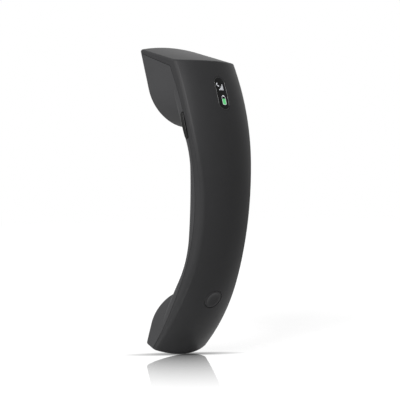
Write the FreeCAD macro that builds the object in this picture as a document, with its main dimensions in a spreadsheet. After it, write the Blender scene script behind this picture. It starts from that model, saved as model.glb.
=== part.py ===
import FreeCAD, Part
import math
import os
import re
import Sketcher

# Cordless desk phone handset, standing upright on its mouth end.
# X is the width, Y runs from the curved spine face (-Y) to the ear and mouth faces (+Y), Z is up.
# The origin lies on the ground below the middle of the handset.

doc = FreeCAD.newDocument("Handset")
sheet = doc.addObject("Spreadsheet::Sheet", "Sizes")

# Driving dimensions, in millimetres and degrees
table = {
    # spine face, seen from the side: two arcs that meet at the crest
    "crestHeight": 115.7,
    "crestReach": 34.8,
    "spineUpperRadius": 176,
    "spineLowerRadius": 155,
    "crownRadius": 40,
    "crownSweep": 75,
    # outline, seen from the front
    "earHalfWidth": 25.2,
    "earCupHeight": 179.2,
    "waistHalfWidth": 19.6,
    "waistHeight": 80.7,
    "mouthHalfWidth": 22.3,
    "mouthCupHeight": 21.2,
    # top and bottom ends
    "topHeight": 200.9,
    "topRise": 14.8,
    "topArchRadius": 132,
    "bottomDrop": 6.9,
    "bottomRise": 21,
    "bottomArchRadius": 124,
    # ear and mouth faces
    "earReach": 24.8,
    "earTilt": 20,
    "mouthReach": 26.4,
    "mouthTilt": 22,
    # finger side of the grip
    "gripReach": 16.3,
    "gripUpperHeight": 135.3,
    "gripLowerHeight": 65.1,
    "gripUpperLean": 20,
    "gripMiddleLean": 5.9,
    "gripLowerLean": 31,
    "gripUpperRadius": 40,
    "gripLowerRadius": 70,
    # roundings
    "gripEdgeRadius": 5,
    "spineEdgeRadius": 3.5,
    "topRimRadius": 1.6,
    "bottomRimRadius": 2,
    # mouldings and the parting line between them
    "wall": 2.2,
    "seamHeight": 118.7,
    "seamReach": 22.3,
    "seamUpperRadius": 138,
    "seamLowerRadius": 165,
    "seamUpperLean": 28,
    "seamLowerLean": 55,
    "seamTopHeight": 193.85,
    "seamTopRise": 18,
    "seamGap": 0.3,
    "fitGap": 0.15,
    "moveGap": 0.25,
    # display window in the spine
    "displayHeight": 175.2,
    "windowWidth": 8.8,
    "windowLength": 23.4,
    "windowRecess": 0.3,
    "windowSeat": 2,
    "windowLedge": 1,
    "windowFrameWall": 2,
    "windowFrameDepth": 3.2,
    "moduleWidth": 9,
    "moduleLength": 24,
    "moduleThickness": 1.6,
    "holderWall": 1.3,
    # main board behind the display
    "boardDepth": 12,
    "boardThickness": 1,
    "boardWidth": 40,
    "boardLength": 46,
    "boardDrop": 2.5,
    "boardCorner": 3,
    "postRadius": 2.6,
    "postAcross": 12.5,
    "postDrop": 20,
    "screwRadius": 1,
    "screwHeadRadius": 1.9,
    "screwHeadHeight": 1.2,
    "screwBite": 5,
    "shieldWidth": 18,
    "shieldLength": 15,
    "shieldHeight": 2.4,
    "shieldDrop": 6.5,
    "antennaWidth": 26,
    "antennaLength": 4.4,
    "antennaDepth": 4,
    "antennaRaise": 17,
    # volume key in the near side, along the parting line
    "keyHeight": 153.7,
    "keyLength": 17.8,
    "keyWidth": 3.4,
    "keyProud": 0.95,
    "keyBulge": 0.55,
    "keyEdgeRadius": 0.5,
    "keyBack": 2.9,
    "keyBaseWidth": 2,
    "keyLipLength": 0.9,
    "keyLipGap": 0.6,
    "keyLipThickness": 1,
    "keyPinDepth": 3.6,
    "keyPinRadius": 0.5,
    "keyPinFit": 0.05,
    "keyBarrelRadius": 1.4,
    "keyCheekThickness": 3,
    "keyCheekLength": 5,
    "keyCheekReach": 6,
    "keyPusherSpan": 5.5,
    "keyPusherWidth": 1.6,
    "keyThrow": 0.4,
    "sideSwitchReach": 18.2,
    "sideSwitchWidth": 3,
    "sideSwitchHeight": 3.6,
    "sideSwitchLength": 3.4,
    "sideSwitchButton": 0.8,
    "sideSwitchButtonSize": 1.6,
    # call button in the spine
    "buttonHeight": 39.4,
    "buttonRadius": 6.5,
    "buttonDish": 1.3,
    "buttonDishRadius": 12,
    "buttonInset": 0.1,
    "buttonEdgeRadius": 0.4,
    "buttonFlange": 1.2,
    "buttonSeat": 3.1,
    "buttonSeatWall": 2,
    "buttonFlangeThickness": 0.9,
    "buttonStemRadius": 2,
    "buttonTravel": 0.5,
    "switchSize": 6,
    "switchHeight": 3.1,
    "switchButtonRadius": 1.6,
    "switchButtonHeight": 0.4,
    "padOuterRadius": 6.6,
    "padInnerRadius": 5.4,
    "lowerBoardDepth": 9,
    "lowerBoardWidth": 27,
    "lowerBoardLength": 30,
    "lowerBoardDrop": 2,
    "lowerPostAcross": 10.4,
    "lowerPostRaise": 9.5,
    "lowerPostDrop": 13.5,
    # battery in the grip
    "batteryHeight": 103.7,
    "batteryWidth": 30,
    "batteryThickness": 8.5,
    "batteryLength": 50,
    "batteryEdge": 2,
    "foamThickness": 2.2,
    "foamWidth": 24,
    "foamLength": 38,
    "foamChannelWidth": 9.5,
    "foamChannelDepth": 1.3,
    "ribThickness": 1.4,
    "ribWidth": 18,
    "ribSpan": 17,
    "stopHeight": 6,
    "cableWidth": 8,
    "cableThickness": 0.3,
    "cableTail": 3,
    # earpiece
    "capThickness": 1.6,
    "capRim": 1.6,
    "capChamfer": 0.35,
    "capHoleRadius": 0.9,
    "earCapRadius": 19.6,
    "earCapDish": 1.1,
    "earCapPlug": 2.9,
    "earHoleRingInner": 4.2,
    "earHoleRingOuter": 8.2,
    "earHolesInner": 6,
    "earHolesOuter": 12,
    "plateThickness": 2,
    "plateMargin": 1.9,
    "receiverRadius": 12.5,
    "receiverHeight": 7.5,
    "receiverStep": 4,
    "magnetRadius": 8,
    "meshThickness": 0.4,
    "gasketThickness": 0.8,
    "gasketWall": 2,
    "ringWall": 1.3,
    "hookMagnetRadius": 2.5,
    "hookMagnetHeight": 2.2,
    "hookMagnetRaise": 24.2,
    # mouthpiece
    "mouthCapRadius": 13,
    "mouthCapRaise": 3,
    "mouthCapDish": 0.7,
    "mouthCapPlug": 2.6,
    "mouthHoleRing": 2.6,
    "mouthHoles": 6,
    "mouthPlateMargin": 1.4,
    "microphoneRadius": 3,
    "microphoneHeight": 2.4,
    "bootWall": 1.4,
    "bootHeight": 4,
    "contactRadius": 1.5,
    "contactHeadRadius": 2,
    "contactHeadHeight": 0.25,
    "contactAcross": 7.5,
    "contactDrop": 11.8,
    "contactLength": 6,
    "contactSink": 0.3,
    # screws that join the mouldings
    "earScrewAcross": 12.3,
    "earScrewDrop": 12.3,
    "mouthScrewAcross": 8.8,
    "bossRadius": 3.1,
    "boreRadius": 2.1,
    "shoulderRadius": 3.4,
    "tallPostRadius": 2.4,
    "earJointDepth": 16,
    "mouthJointDepth": 12,
    "headSeat": 2.5,
    "housingScrewLength": 8,
    # size of the rough blocks that the forms are cut from
    "farSide": 70,
}
for row, (alias, number) in enumerate(table.items(), 1):
    sheet.set("A%d" % row, alias)
    sheet.set("B%d" % row, str(number))
    sheet.setAlias("B%d" % row, alias)
doc.recompute()


# Working with the sheet

def sized(text):
    # writes a rule such as "wall / 2" with the sheet's name before each size
    return re.sub(r"\b(%s)\b" % "|".join(table), r"Sizes.\1", str(text))


def value(text):
    result = sheet.evalExpression(sized(text))
    return float(getattr(result, "Value", result))


def bind(item, **rules):
    for name, text in rules.items():
        item.setExpression(name, sized(text))


# Places along the handset. Each has an origin in the side view, the lean of its upward direction
# and the side to which that direction leans: 1 towards the ear face, -1 towards the spine.
# Its own +Y is the depth into the handset, or out of the ear and mouth faces.

def spineFrame(height, radius, side):
    lean = "asin(%d * (%s - crestHeight) / %s)" % (side, height, radius)
    return {"reach": "(%s * (1 - cos(%s)) - crestReach)" % (radius, lean), "height": height,
            "lean": lean, "side": side}


displayFrame = spineFrame("displayHeight", "spineUpperRadius", 1)
buttonFrame = spineFrame("buttonHeight", "spineLowerRadius", -1)
earFrame = {"reach": "earReach", "height": "earCupHeight", "lean": "earTilt", "side": 1}
mouthFrame = {"reach": "mouthReach", "height": "mouthCupHeight", "lean": "mouthTilt", "side": -1}
batteryFrame = {
    "reach": "((gripUpperHeight - batteryHeight) * tan(gripMiddleLean) - gripReach)",
    "height": "batteryHeight",
    "lean": "gripMiddleLean",
    "side": -1,
}
keyLean = "asin((keyHeight - seamHeight) / seamUpperRadius)"
keyFrame = {
    "reach": "(seamUpperRadius * (1 - cos(%s)) - seamReach + seamGap + keyWidth / 2 + fitGap)" % keyLean,
    "height": "keyHeight",
    "lean": keyLean,
    "side": 1,
}
levelFrame = {"reach": "0", "height": "0", "lean": "0", "side": 1}


def pointIn(frame, depth, along):
    # the side view position of a point given in a frame
    reach = "(%(reach)s + (DEPTH) * cos(%(lean)s) + %(side)d * (ALONG) * sin(%(lean)s))" % frame
    height = "(%(height)s - %(side)d * (DEPTH) * sin(%(lean)s) + (ALONG) * cos(%(lean)s))" % frame
    return [rule.replace("DEPTH", str(depth)).replace("ALONG", str(along)) for rule in (reach, height)]


def seenFrom(frame, reach, height):
    # the depth and the place along a frame of a point of the side view
    depth = "((REACH - %(reach)s) * cos(%(lean)s) - %(side)d * (HEIGHT - %(height)s) * sin(%(lean)s))" % frame
    along = "(%(side)d * (REACH - %(reach)s) * sin(%(lean)s) + (HEIGHT - %(height)s) * cos(%(lean)s))" % frame
    return [rule.replace("REACH", reach).replace("HEIGHT", height) for rule in (depth, along)]


def place(item, frame, across="0", depth="0", along="0", upright=True):
    # an upright piece keeps its Z along the frame, any other turns it into the depth
    reach, height = pointIn(frame, depth, along)
    turn = frame["lean"] if upright else "90 + %d * %s / 1 deg" % (frame["side"], frame["lean"])
    if not upright and "asin" not in frame["lean"]:
        turn = "90 + %d * %s" % (frame["side"], frame["lean"])
    side = frame["side"] if upright else 1
    item.Placement = FreeCAD.Placement(FreeCAD.Vector(0, 0, 0),
                                       FreeCAD.Rotation(FreeCAD.Vector(-side, 0, 0), 1))
    item.setExpression("Placement.Base.x", sized(across))
    item.setExpression("Placement.Base.y", sized(reach))
    item.setExpression("Placement.Base.z", sized(height))
    item.setExpression("Placement.Rotation.Angle", sized(turn))
    return item


# Solids

def drawing(body, plane, steps):
    # A closed outline. Each step is a corner (across, up). An arc to the next corner adds its radius
    # and the side of its centre: 1 left of the way round, -1 right of it.
    sketch = body.newObject("Sketcher::SketchObject", body.Name + "Outline")
    support = next(item for item in body.Origin.OriginFeatures if item.Role == plane)
    sketch.AttachmentSupport = [(support, "")]
    sketch.MapMode = "FlatFace"
    corners = [FreeCAD.Vector(value(step[0]), value(step[1]), 0) for step in steps]
    starts = [2 if len(step) > 2 and step[3] < 0 else 1 for step in steps]
    for number, step in enumerate(steps):
        start = corners[number]
        end = corners[(number + 1) % len(steps)]
        edge = Part.LineSegment(start, end)
        if len(step) > 2:
            half = (end - start) * 0.5
            radius = value(step[2])
            toCentre = FreeCAD.Vector(-half.y, half.x, 0).normalize() * step[3]
            rise = radius - math.sqrt(radius ** 2 - half.Length ** 2)
            edge = Part.Arc(start, start + half - toCentre * rise, end)
        sketch.addGeometry(edge)
    for number, step in enumerate(steps):
        following = (number + 1) % len(steps)
        joint = Sketcher.Constraint("Coincident", number, 3 - starts[number], following,
                                    starts[following])
        sketch.addConstraint(joint)
        rules = [("DistanceX", (-1, 1, number, starts[number]), step[0])]
        rules.append(("DistanceY", (-1, 1, number, starts[number]), step[1]))
        if len(step) > 2:
            rules.append(("Radius", (number,), step[2]))
        for kind, which, text in rules:
            index = sketch.addConstraint(Sketcher.Constraint(kind, *which, value(text)))
            sketch.setExpression("Constraints[%d]" % index, sized(text))
    return sketch


def prism(label, plane, steps, length):
    body = doc.addObject("PartDesign::Body", label)
    pad = body.newObject("PartDesign::Pad", label + "Pad")
    pad.Profile = drawing(body, plane, steps)
    pad.Midplane = True
    bind(pad, Length=length)
    return body


def turned(label, steps):
    # a revolved piece: each step is (radius, place along the axis, which is its own Y)
    body = doc.addObject("PartDesign::Body", label)
    sketch = drawing(body, "XY_Plane", steps)
    revolution = body.newObject("PartDesign::Revolution", label + "Turned")
    revolution.Profile = sketch
    revolution.ReferenceAxis = (sketch, ["V_Axis"])
    revolution.Angle = 360
    return body


def block(label, frame, across, depth, along, width, thickness, length):
    # a block whose middle is at the place given
    item = doc.addObject("Part::Box", label)
    bind(item, Length=width, Width=thickness, Height=length)
    return place(item, frame, "%s - (%s) / 2" % (across, width), "%s - (%s) / 2" % (depth, thickness),
                 "%s - (%s) / 2" % (along, length))


def rod(label, frame, across, depth, along, radius, length):
    # a round bar that runs into the depth from the place given
    item = doc.addObject("Part::Cylinder", label)
    bind(item, Radius=radius, Height=length)
    return place(item, frame, across, depth, along, upright=False)


def fuse(label, pieces):
    item = doc.addObject("Part::MultiFuse", label)
    item.Shapes = pieces
    return item


def common(label, pieces):
    item = doc.addObject("Part::MultiCommon", label)
    item.Shapes = pieces
    return item


def cut(label, base, tool):
    item = doc.addObject("Part::Cut", label)
    item.Base = base
    item.Tool = tool
    return item


def group(label, pieces):
    item = doc.addObject("Part::Compound", label)
    item.Links = pieces
    return item


def edgesWhere(shape, test, rise, hidden):
    names = []
    for number, edge in enumerate(shape.Edges, 1):
        first, last = edge.ParameterRange
        points = [edge.valueAt(first + (last - first) * share) for share in (0, 0.25, 0.5, 0.75, 1)]
        if edge.BoundBox.ZLength < rise or not all(test(point) for point in points):
            continue
        if not all(hidden(point) for point in points):
            names.append("Edge%d" % number)
    return names


def rounded(body, radius, test, rise=0, hidden=lambda point: False):
    # rounds the edges of a body that pass the test, rise at least so far and don't lie on what is left out
    doc.recompute()
    base = body.Tip if body.Tip else body.BaseFeature
    fillet = body.newObject("PartDesign::Fillet", body.Name + "Round")
    fillet.Base = (base, edgesWhere(base.Shape, test, rise, hidden))
    bind(fillet, Radius=radius)
    return body


def stadium(width, length, grow="0"):
    half = "(%s) / 2 + %s" % (width, grow)
    end = "(%s) / 2 + %s" % (length, grow)
    straight = "((%s) - (%s)) / 2" % (length, width)
    return [
        (half, "-" + straight),
        (half, straight, half, 1),
        ("0", end, half, 1),
        ("-(%s)" % half, straight),
        ("-(%s)" % half, "-" + straight, half, 1),
        ("0", "-(%s)" % end, half, 1),
    ]


# Outer form, also used smaller for the space inside and for what grows out of the walls

def sCurve(low, high, narrow, wide):
    return "((%s - %s)^2 + (%s - %s)^2) / (4 * (%s - %s))" % (high, low, wide, narrow, wide, narrow)


def outlineSteps(inset):
    ear = "(earHalfWidth - %s)" % inset
    waist = "(waistHalfWidth - %s)" % inset
    mouth = "(mouthHalfWidth - %s)" % inset
    upper = sCurve("waistHeight", "earCupHeight", "waistHalfWidth", "earHalfWidth")
    lower = sCurve("mouthCupHeight", "waistHeight", "waistHalfWidth", "mouthHalfWidth")
    upperTurn = "(earCupHeight + waistHeight) / 2"
    lowerTurn = "(mouthCupHeight + waistHeight) / 2"
    return [
        (mouth, "-farSide"),
        (mouth, "mouthCupHeight", lower, 1),
        ("(%s + %s) / 2" % (mouth, waist), lowerTurn, lower, -1),
        (waist, "waistHeight", upper, -1),
        ("(%s + %s) / 2" % (ear, waist), upperTurn, upper, 1),
        (ear, "earCupHeight"),
        (ear, "topHeight + farSide"),
        ("-" + ear, "topHeight + farSide"),
        ("-" + ear, "earCupHeight", upper, 1),
        ("-(%s + %s) / 2" % (ear, waist), upperTurn, upper, -1),
        ("-" + waist, "waistHeight", lower, -1),
        ("-(%s + %s) / 2" % (mouth, waist), lowerTurn, lower, 1),
        ("-" + mouth, "mouthCupHeight"),
        ("-" + mouth, "-farSide"),
    ]


def fingerSteps(inset):
    # the open side of the grip, bounded by three straight stretches and two arcs
    up, mid, low = "gripUpperLean", "gripMiddleLean", "gripLowerLean"
    upperRadius = "(gripUpperRadius + %s)" % inset
    lowerRadius = "(gripLowerRadius + %s)" % inset
    upperShare = "%s / (1 + cos(%s + %s))" % (inset, up, mid)
    lowerShare = "%s / (1 + cos(%s - %s))" % (inset, low, mid)
    upperReach = "(-gripReach - %s * (cos(%s) + cos(%s)))" % (upperShare, up, mid)
    upperHeight = "(gripUpperHeight - %s * (sin(%s) - sin(%s)))" % (upperShare, mid, up)
    bend = "(gripUpperHeight - gripLowerHeight) * tan(%s)" % mid
    lowerReach = "(-gripReach + %s - %s * (cos(%s) + cos(%s)))" % (bend, lowerShare, mid, low)
    lowerHeight = "(gripLowerHeight - %s * (sin(%s) + sin(%s)))" % (lowerShare, mid, low)
    upperTangent = "%s * tan((%s + %s) / 2)" % (upperRadius, up, mid)
    lowerTangent = "%s * tan((%s - %s) / 2)" % (lowerRadius, low, mid)

    def bendEnd(reach, height, tangent, lean, way):
        return ("%s + %d * %s * sin(%s)" % (reach, way[0], tangent, lean),
                "%s + %d * %s * cos(%s)" % (height, way[1], tangent, lean))

    return [
        ("%s + (%s + farSide) * tan(%s)" % (lowerReach, lowerHeight, low), "-farSide"),
        ("3 * farSide", "-farSide"),
        ("3 * farSide", "topHeight + farSide"),
        ("%s + (topHeight + farSide - %s) * tan(%s)" % (upperReach, upperHeight, up),
         "topHeight + farSide"),
        bendEnd(upperReach, upperHeight, upperTangent, up, (1, 1)) + (upperRadius, 1),
        bendEnd(upperReach, upperHeight, upperTangent, mid, (1, -1)),
        bendEnd(lowerReach, lowerHeight, lowerTangent, mid, (-1, 1)) + (lowerRadius, 1),
        bendEnd(lowerReach, lowerHeight, lowerTangent, low, (1, -1)),
    ]


def crownRing(label, radius, turn, inset):
    # half of the spine's crowned face: a ring whose axis runs across the handset
    ring = doc.addObject("Part::Torus", label)
    across = FreeCAD.Vector(-turn, 0, 0)
    rotation = FreeCAD.Rotation(FreeCAD.Vector(0, -1, 0), FreeCAD.Vector(0, 0, turn), across, "XYZ")
    ring.Placement = FreeCAD.Placement(FreeCAD.Vector(0, 0, 0), rotation)
    ring.setExpression("Placement.Base.y", sized("%s - crestReach" % radius))
    ring.setExpression("Placement.Base.z", sized("crestHeight"))
    bind(ring, Radius1="%s - crownRadius" % radius, Radius2="crownRadius - %s" % inset,
         Angle3="crownSweep")
    return ring


def endForm(label, arch, way):
    # a tall block with an arched end; way is 1 for the top and -1 for the bottom
    sag = "(%s - sqrt((%s)^2 - (farSide / 2)^2))" % (arch, arch)
    first = "-farSide / 2" if way > 0 else "farSide / 2"
    last = "farSide / 2" if way > 0 else "-farSide / 2"
    return prism(label, "XZ_Plane", [
        (first, "%d * 4 * farSide" % -way),
        (last, "%d * 4 * farSide" % -way),
        (last, "%d * %s" % (-way, sag), arch, 1),
        (first, "%d * %s" % (-way, sag)),
    ], "4 * farSide")


def tilted(body, height, angle):
    body.Placement = FreeCAD.Placement(FreeCAD.Vector(0, 0, 0),
                                       FreeCAD.Rotation(FreeCAD.Vector(1, 0, 0), 1))
    body.setExpression("Placement.Base.z", sized(height))
    body.setExpression("Placement.Rotation.Angle", sized(angle))
    return body


def isFingerEdge(point):
    # away from the rough block's own corners, on the side of the grip
    return abs(point.x) > value("waistHalfWidth") / 2 and abs(point.y) < value("3 * farSide") - 1


def gripBar(label, inset):
    bar = prism(label, "XZ_Plane", outlineSteps(inset), "6 * farSide")
    pocket = bar.newObject("PartDesign::Pocket", label + "Fingers")
    pocket.Profile = drawing(bar, "YZ_Plane", fingerSteps(inset))
    pocket.Type = "ThroughAll"
    pocket.Midplane = True
    return rounded(bar, "gripEdgeRadius - %s" % inset, isFingerEdge)


def handsetForm(label, inset):
    crown = fuse(label + "Crown", [
        crownRing(label + "CrownUpper", "spineUpperRadius", 1, inset),
        crownRing(label + "CrownLower", "spineLowerRadius", -1, inset),
    ])
    top = endForm(label + "Top", "(topArchRadius - %s)" % inset, 1)
    tilted(top, "topHeight - %s / cos(topRise)" % inset, "topRise")
    bottom = endForm(label + "Bottom", "(bottomArchRadius - %s)" % inset, -1)
    tilted(bottom, "-bottomDrop + %s / cos(bottomRise)" % inset, "bottomRise")
    ear = "(earReach - %s / cos(earTilt))" % inset
    mouth = "(mouthReach - %s / cos(mouthTilt))" % inset
    crossing = "((%s - %s + earCupHeight * tan(earTilt) + mouthCupHeight * tan(mouthTilt))"
    crossing = crossing % (mouth, ear)
    crossing = crossing + " / (tan(earTilt) + tan(mouthTilt)))"
    faces = prism(label + "Faces", "YZ_Plane", [
        ("-farSide", "-farSide"),
        ("%s + (farSide + mouthCupHeight) * tan(mouthTilt)" % mouth, "-farSide"),
        ("%s + (%s - earCupHeight) * tan(earTilt)" % (ear, crossing), crossing),
        ("%s + (topHeight + farSide - earCupHeight) * tan(earTilt)" % ear, "topHeight + farSide"),
        ("-farSide", "topHeight + farSide"),
    ], "2 * farSide")
    earHalf = "(earHalfWidth - %s)" % inset
    earCup = prism(label + "EarCup", "XZ_Plane", [
        (earHalf, "earCupHeight"),
        (earHalf, "topHeight + farSide"),
        ("-" + earHalf, "topHeight + farSide"),
        ("-" + earHalf, "earCupHeight", earHalf, 1),
        ("0", "earCupHeight - " + earHalf, earHalf, 1),
    ], "2 * farSide")
    mouthHalf = "(mouthHalfWidth - %s)" % inset
    mouthCup = prism(label + "MouthCup", "XZ_Plane", [
        (mouthHalf, "-farSide"),
        (mouthHalf, "mouthCupHeight", mouthHalf, 1),
        ("0", "mouthCupHeight + " + mouthHalf, mouthHalf, 1),
        ("-" + mouthHalf, "mouthCupHeight"),
        ("-" + mouthHalf, "-farSide"),
    ], "2 * farSide")
    bulk = fuse(label + "Bulk", [gripBar(label + "Grip", inset), earCup, mouthCup])
    return common(label + "Form", [bulk, faces, crown, top, bottom])


closeEnough = 0.02


def near(distance):
    return abs(distance) < closeEnough


def onSpine(point):
    radius = value("spineUpperRadius" if point.z > value("crestHeight") else "spineLowerRadius")
    fromAxis = math.hypot(point.y - radius + value("crestReach"), point.z - value("crestHeight"))
    crown = value("crownRadius")
    return near(math.hypot(fromAxis - radius + crown, point.x) - crown)


def onFace(point, frame):
    lean = math.radians(value(frame["lean"]))
    depth = (point.y - value(frame["reach"])) * math.cos(lean)
    return near(depth - frame["side"] * (point.z - value(frame["height"])) * math.sin(lean))


def onArch(point, height, rise, radius, way):
    lean = math.radians(value(rise))
    above = (point.z - value(height)) * math.cos(lean) - point.y * math.sin(lean)
    return near(math.hypot(point.x, above * way + value(radius)) - value(radius))


def onTop(point):
    return onArch(point, "topHeight", "topRise", "topArchRadius", 1)


def onBottom(point):
    return onArch(point, "-bottomDrop", "bottomRise", "bottomArchRadius", -1)


def roundedForm(label, form):
    body = doc.addObject("PartDesign::Body", label)
    body.BaseFeature = form
    rounded(body, "spineEdgeRadius", onSpine, value("spineEdgeRadius * 2"))
    rounded(body, "topRimRadius", lambda point: onTop(point) or onFace(point, earFrame))
    rounded(body, "bottomRimRadius", onBottom, hidden=lambda point: onFace(point, mouthFrame))
    rounded(body, "bottomRimRadius", lambda point: onFace(point, mouthFrame))
    doc.recompute()
    return body


# Parting line between the spine cover and the front housing

def seamBlock(label, offset):
    # everything on the spine side of the line, moved towards the ear face by the offset
    upper = "(seamUpperRadius - %s)" % offset
    lower = "(seamLowerRadius - %s)" % offset
    lean = "seamUpperLean"
    reach = "(seamUpperRadius - seamReach - %s * cos(%s))" % (upper, lean)
    height = "(seamHeight + %s * sin(%s))" % (upper, lean)
    top = "(seamTopHeight - %s / cos(seamTopRise))" % offset
    corner = "((%s + (%s - %s) * tan(%s)) / (1 - tan(%s) * tan(seamTopRise)))"
    corner = corner % (reach, top, height, lean, lean)
    lowEnd = "seamHeight - %s * sin(seamLowerLean)" % lower
    return prism(label, "YZ_Plane", [
        ("seamLowerRadius - seamReach - %s * cos(seamLowerLean)" % lower, lowEnd, lower, -1),
        ("%s - seamReach" % offset, "seamHeight", upper, -1),
        (reach, height),
        (corner, "%s + %s * tan(seamTopRise)" % (top, corner)),
        ("farSide", "%s + farSide * tan(seamTopRise)" % top),
        ("farSide", "topHeight + farSide"),
        ("-farSide", "topHeight + farSide"),
        ("-farSide", lowEnd),
    ], "2 * farSide")


# Pieces shared by several parts

def pill(label, frame, depth, width, length, thickness, grow="0"):
    # a stadium whose nearest face lies at the depth given
    item = prism(label, "XZ_Plane", stadium(width, length, grow), thickness)
    return place(item, frame, depth="%s + (%s) / 2" % (depth, thickness))


def tube(label, frame, depth, outer, inner, length):
    item = turned(label, [(inner, "0"), (outer, "0"), (outer, length), (inner, length)])
    return place(item, frame, depth=depth)


def screw(label, frame, across, seat, along, length):
    item = turned(label, [
        ("0", "-(%s)" % length),
        ("screwRadius", "-(%s)" % length),
        ("screwRadius", "0"),
        ("screwHeadRadius", "0"),
        ("screwHeadRadius", "screwHeadHeight * 0.6"),
        ("screwHeadRadius * 0.8", "screwHeadHeight"),
        ("0", "screwHeadHeight"),
    ])
    return place(item, frame, across, seat, along)


def drilled(body, ring, count, radius):
    # a ring of sound holes round the middle of a cap, or one hole in the middle
    name = body.Name + "Holes%d" % len(body.Group)
    sketch = body.newObject("Sketcher::SketchObject", name + "Sketch")
    support = {item.Role: item for item in body.Origin.OriginFeatures}
    sketch.AttachmentSupport = [(support["XZ_Plane"], "")]
    sketch.MapMode = "FlatFace"
    sketch.addGeometry(Part.Circle(FreeCAD.Vector(0, value(ring), 0), FreeCAD.Vector(0, 0, 1),
                                   value(radius)))
    for kind, which, text in (("DistanceX", (-1, 1, 0, 3), "0"), ("DistanceY", (-1, 1, 0, 3), ring),
                              ("Radius", (0,), radius)):
        index = sketch.addConstraint(Sketcher.Constraint(kind, *which, value(text)))
        if text != "0":
            sketch.setExpression("Constraints[%d]" % index, sized(text))
    hole = body.newObject("PartDesign::Pocket", name)
    hole.Profile = sketch
    hole.Type = "ThroughAll"
    hole.Midplane = True
    if count == "1":
        return body
    pattern = body.newObject("PartDesign::PolarPattern", name + "Ring")
    pattern.Originals = [hole]
    pattern.Axis = (support["Y_Axis"], [""])
    pattern.Angle = 360
    bind(pattern, Occurrences=count)
    body.Tip = pattern
    return body


def soundCap(label, radius, dish, plugRadius, plug):
    rimInner = "(%s - capRim)" % radius
    return turned(label, [
        ("0", "-" + dish, "(%s^2 + %s^2) / (2 * %s)" % (rimInner, dish, dish), 1),
        (rimInner, "0"),
        ("%s - capChamfer" % radius, "0"),
        (radius, "-capChamfer"),
        (radius, "-capThickness"),
        (plugRadius, "-capThickness"),
        (plugRadius, "-" + plug),
        ("0", "-" + plug),
    ])


# Forms

outerForm = roundedForm("OuterRounded", handsetForm("Outer", "0"))
cavity = handsetForm("Inner", "wall")
growthForm = handsetForm("Middle", "(wall / 2)")
hollow = cut("Hollow", outerForm, cavity)


# Places of the screws that join the mouldings

earScrewDepth, earScrewAlong = seenFrom(displayFrame, *pointIn(earFrame, "0", "-earScrewDrop"))
earScrewSpots = ["-earScrewAcross", "earScrewAcross"]
mouthScrewSpots = ["-mouthScrewAcross", "mouthScrewAcross"]
mainPostSpots = ["-postAcross", "postAcross"]
lowerPostSpots = [(side + "lowerPostAcross", along) for side in ("-", "")
                  for along in ("lowerPostRaise", "-lowerPostDrop")]


# Spine cover

def spineCover():
    shell = common("CoverShell", [hollow, seamBlock("SeamSpine", "0")])
    grown = [
        pill("WindowFrame", displayFrame, "0", "windowWidth", "windowLength", "windowFrameDepth",
             "windowFrameWall"),
        rod("ButtonSeat", buttonFrame, "0", "0", "0", "buttonRadius + moveGap + buttonSeatWall",
            "buttonSeat"),
    ]
    tools = [
        pill("WindowOpening", displayFrame, "-farSide", "windowWidth", "windowLength",
             "farSide + windowSeat", "fitGap"),
        pill("WindowThrough", displayFrame, "-farSide", "windowWidth", "windowLength", "2 * farSide",
             "-windowLedge"),
        rod("ButtonBore", buttonFrame, "0", "-farSide", "0", "buttonRadius + moveGap", "2 * farSide"),
    ]
    pilot = "screwBite + 1"
    for number, across in enumerate(earScrewSpots):
        spot = (displayFrame, across)
        grown.append(rod("Shoulder%d" % number, *spot, "0", earScrewAlong, "shoulderRadius",
                         "boardDepth"))
        grown.append(rod("TallPost%d" % number, *spot, "0", earScrewAlong, "tallPostRadius",
                         "earJointDepth"))
        length = "housingScrewLength - headSeat + 1"
        start = "earJointDepth - (%s)" % length
        tools.append(rod("TallPilot%d" % number, *spot, start, earScrewAlong, "screwRadius", length))
    for number, across in enumerate(mainPostSpots):
        spot = (displayFrame, across)
        grown.append(rod("MainPost%d" % number, *spot, "0", "-postDrop", "postRadius", "boardDepth"))
        start = "boardDepth - (%s)" % pilot
        tools.append(rod("MainPilot%d" % number, *spot, start, "-postDrop", "screwRadius", pilot))
    for number, (across, along) in enumerate(lowerPostSpots):
        spot = (buttonFrame, across)
        grown.append(rod("LowerPost%d" % number, *spot, "0", along, "postRadius", "lowerBoardDepth"))
        start = "lowerBoardDepth - (%s)" % pilot
        tools.append(rod("LowerPilot%d" % number, *spot, start, along, "screwRadius", pilot))
    for number, across in enumerate(mouthScrewSpots):
        spot = (mouthFrame, across)
        length = "farSide - mouthJointDepth"
        grown.append(rod("MouthPost%d" % number, *spot, "-farSide", "mouthCapRaise", "bossRadius",
                         length))
        length = "housingScrewLength - headSeat + 1"
        start = "-mouthJointDepth - (%s)" % length
        tools.append(rod("MouthPilot%d" % number, *spot, start, "mouthCapRaise", "screwRadius", length))
    back = "-(wall + foamThickness + batteryThickness)"
    for number, side in enumerate(("-", "")):
        along = side + "ribSpan / 2"
        middle = "%s - stopHeight" % back
        rib = block("BatteryRib%d" % number, batteryFrame, "0", middle, along, "ribWidth",
                    "2 * stopHeight", "ribThickness")
        grown.append(rib)
        along = "%s(batteryLength / 2 + fitGap + ribThickness / 2)" % side
        grown.append(block("BatteryStop%d" % number, batteryFrame, "0", back, along, "ribWidth",
                           "2 * stopHeight", "ribThickness"))
    inside = common("CoverGrowth", [fuse("CoverGrown", grown), growthForm])
    return cut("CoverCut", fuse("CoverWhole", [shell, inside]), fuse("CoverTools", tools))


# Front housing

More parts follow.
